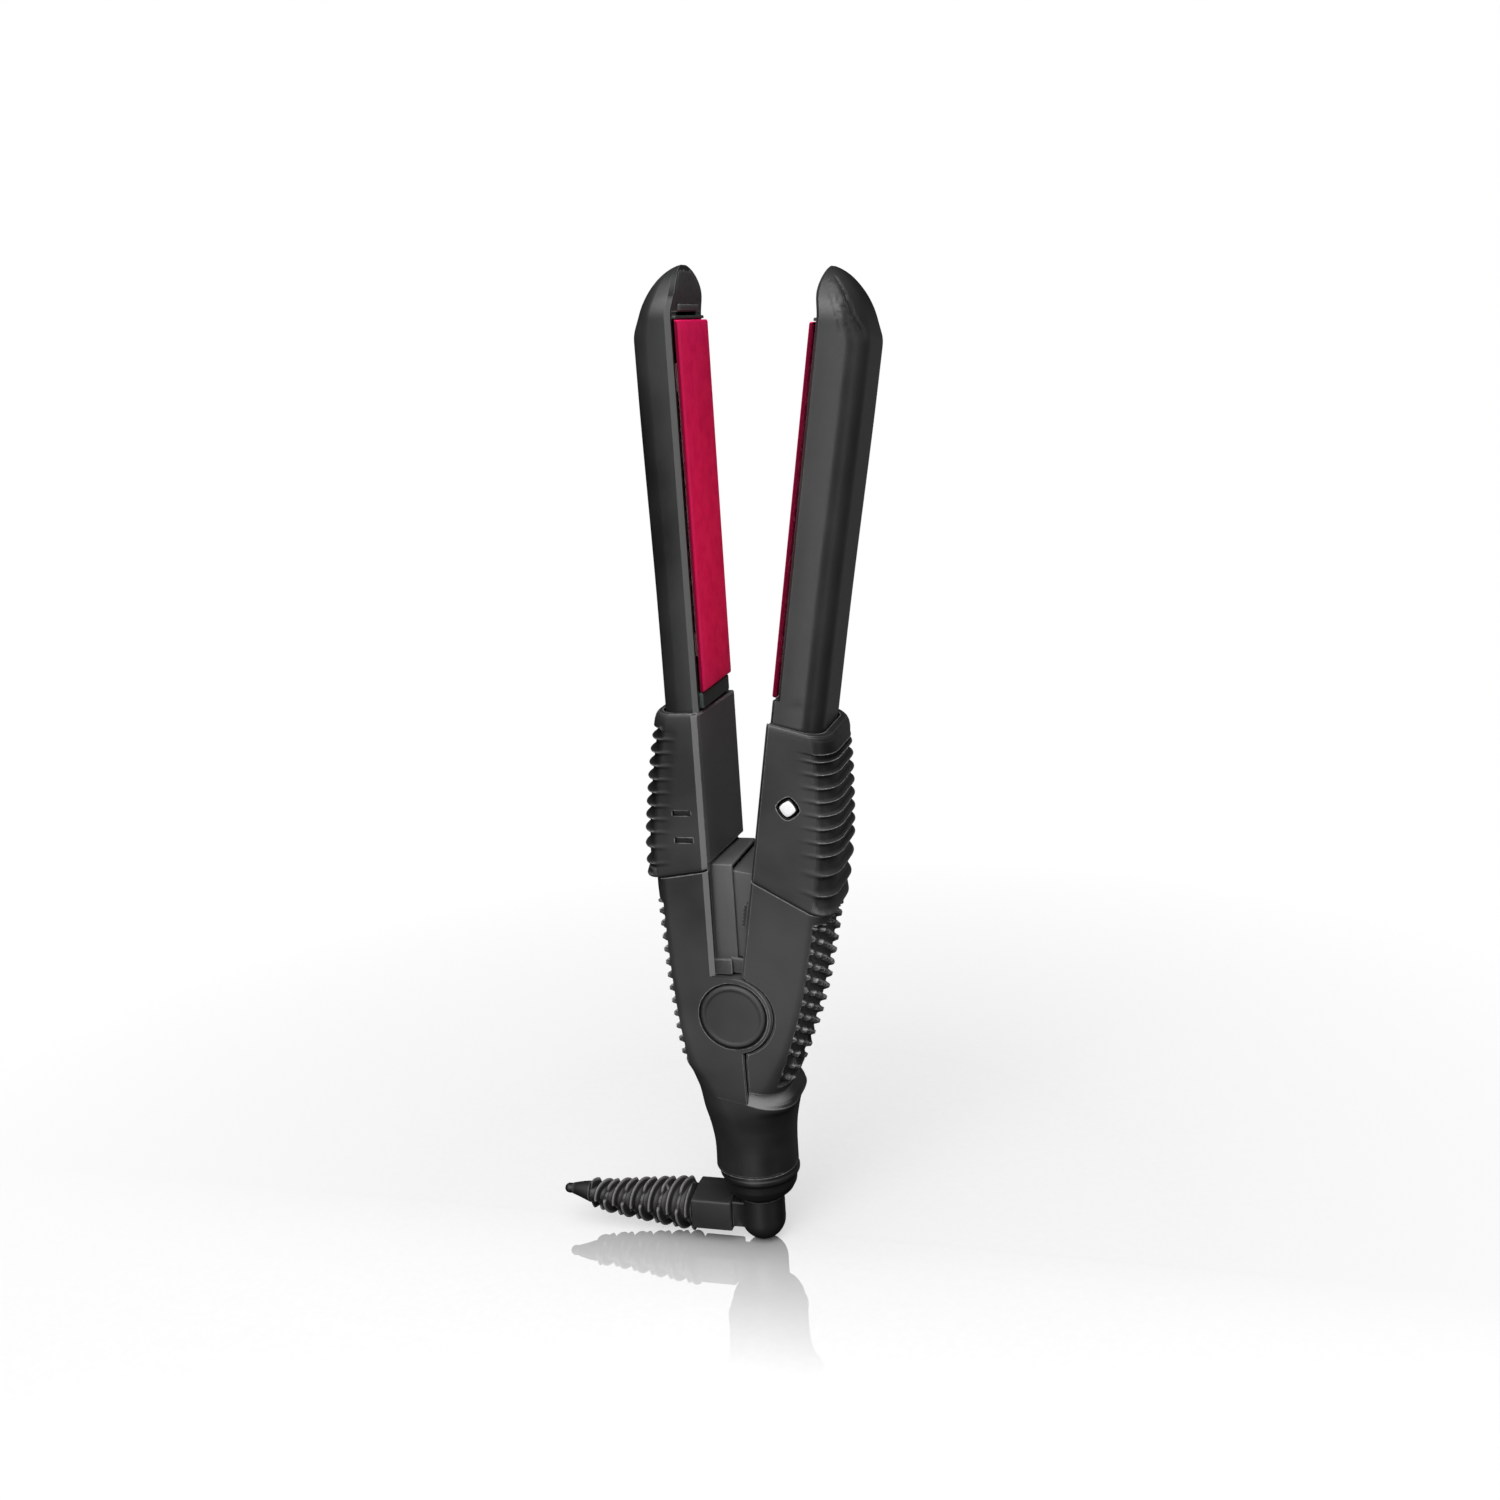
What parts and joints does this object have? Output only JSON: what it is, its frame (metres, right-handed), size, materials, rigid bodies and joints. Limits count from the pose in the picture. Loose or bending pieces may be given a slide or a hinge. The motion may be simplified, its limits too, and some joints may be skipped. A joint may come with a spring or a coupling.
{
  "type": "mini hair iron",
  "caption": "Slim hinged hair iron in an open V with smooth red floating plates, ribbed thumb grips, sprung pivot, slide lock and swivel cord outlet.",
  "frame": {"origin": "on the pivot axis, at the outer flat face of the rear pivot cap", "axes": "+Z along the fixed arm towards its tip, +Y out of the rear pivot cap along the pivot axis, +X towards the moving arm"},
  "size_m": [0.0931, 0.0294, 0.2395],
  "materials": {
    "black_plastic": "semi-gloss black moulded plastic",
    "grip_black": "satin black moulded grip",
    "carrier_resin": "matte dark heat-resistant resin",
    "swivel_black": "satin black moulded plastic",
    "cord_rubber": "matte black flexible rubber",
    "plate_red": "smooth satin red coating on aluminium",
    "steel": "bright steel",
    "brass": "plain brass",
    "heater_ceramic": "unglazed white ceramic",
    "silicone": "red silicone",
    "board_green": "green board laminate",
    "lamp_white": "white lit lens",
    "lead_white": "white silicone insulation"
  },
  "bodies": {
    "fixed_arm": {"fixed_barrel_shell": "black_plastic", "fixed_tip_insert": "grip_black", "fixed_plate_carrier": "carrier_resin", "fixed_float_pad_lower": "silicone", "fixed_float_pad_upper": "silicone", "fixed_carrier_screw_lower": "steel", "fixed_carrier_screw_upper": "steel", "fixed_handle_shell": "black_plastic", "fixed_grip_sleeve": "grip_black", "fixed_inner_cover": "black_plastic", "fixed_lead_live": "lead_white", "fixed_lead_neutral": "lead_white", "fixed_thermal_fuse": "steel", "return_spring": "steel", "pivot_cap_front": "black_plastic", "pivot_cap_rear": "black_plastic", "pivot_washer_front": "steel", "pivot_washer_rear": "steel", "pivot_pin": "steel", "pivot_bush": "brass", "swivel_collar": "swivel_black", "contact_carrier": "carrier_resin", "contact_brush_live": "brass", "contact_brush_neutral": "brass"},
    "fixed_plate_unit": {"fixed_plate": "plate_red", "fixed_heater": "heater_ceramic", "fixed_heater_clip": "steel"},
    "moving_arm": {"moving_barrel_shell": "black_plastic", "moving_tip_insert": "grip_black", "moving_plate_carrier": "carrier_resin", "moving_float_pad_lower": "silicone", "moving_float_pad_upper": "silicone", "moving_carrier_screw_lower": "steel", "moving_carrier_screw_upper": "steel", "moving_handle_shell": "black_plastic", "moving_grip_sleeve": "grip_black", "moving_inner_cover": "black_plastic", "moving_lead_live": "lead_white", "moving_lead_neutral": "lead_white", "circuit_board": "board_green", "indicator_led": "lamp_white", "indicator_lens": "lamp_white"},
    "moving_plate_unit": {"moving_plate": "plate_red", "moving_heater": "heater_ceramic", "moving_heater_clip": "steel", "moving_thermistor": "heater_ceramic"},
    "lock_slider": {"lock_slider": "swivel_black"},
    "cord_outlet": {"swivel_elbow": "swivel_black", "slip_ring_lower": "brass", "slip_ring_upper": "brass", "retaining_clip": "steel", "strain_relief_boot": "cord_rubber", "power_cord": "cord_rubber"}
  },
  "joints": [
    {"name": "arm_hinge", "type": "hinge", "parent": "fixed_arm", "child": "moving_arm", "pos_m": [0, 0, 0], "axis": [0, 1, 0], "range_deg": [-10.3, 0], "stiffness_Nm_per_rad": 0.35, "springref_deg": 5.73, "deforming": ["return_spring"]},
    {"name": "fixed_plate_float", "type": "slide", "parent": "fixed_arm", "child": "fixed_plate_unit", "axis": [-1, 0, 0], "range_m": [0, 0.0005], "stiffness_N_per_m": 2000},
    {"name": "moving_plate_float", "type": "slide", "parent": "moving_arm", "child": "moving_plate_unit", "axis": [0.9871, 0, -0.1599], "range_m": [0, 0.0005], "stiffness_N_per_m": 2000},
    {"name": "lock_slide", "type": "slide", "parent": "moving_arm", "child": "lock_slider", "axis": [0.1599, 0, 0.9871], "range_m": [0, 0.002]},
    {"name": "cord_swivel", "type": "hinge", "parent": "fixed_arm", "child": "cord_outlet", "pos_m": [0, -0.0147, 0], "axis": [0, 0, 1], "continuous": true}
  ]
}
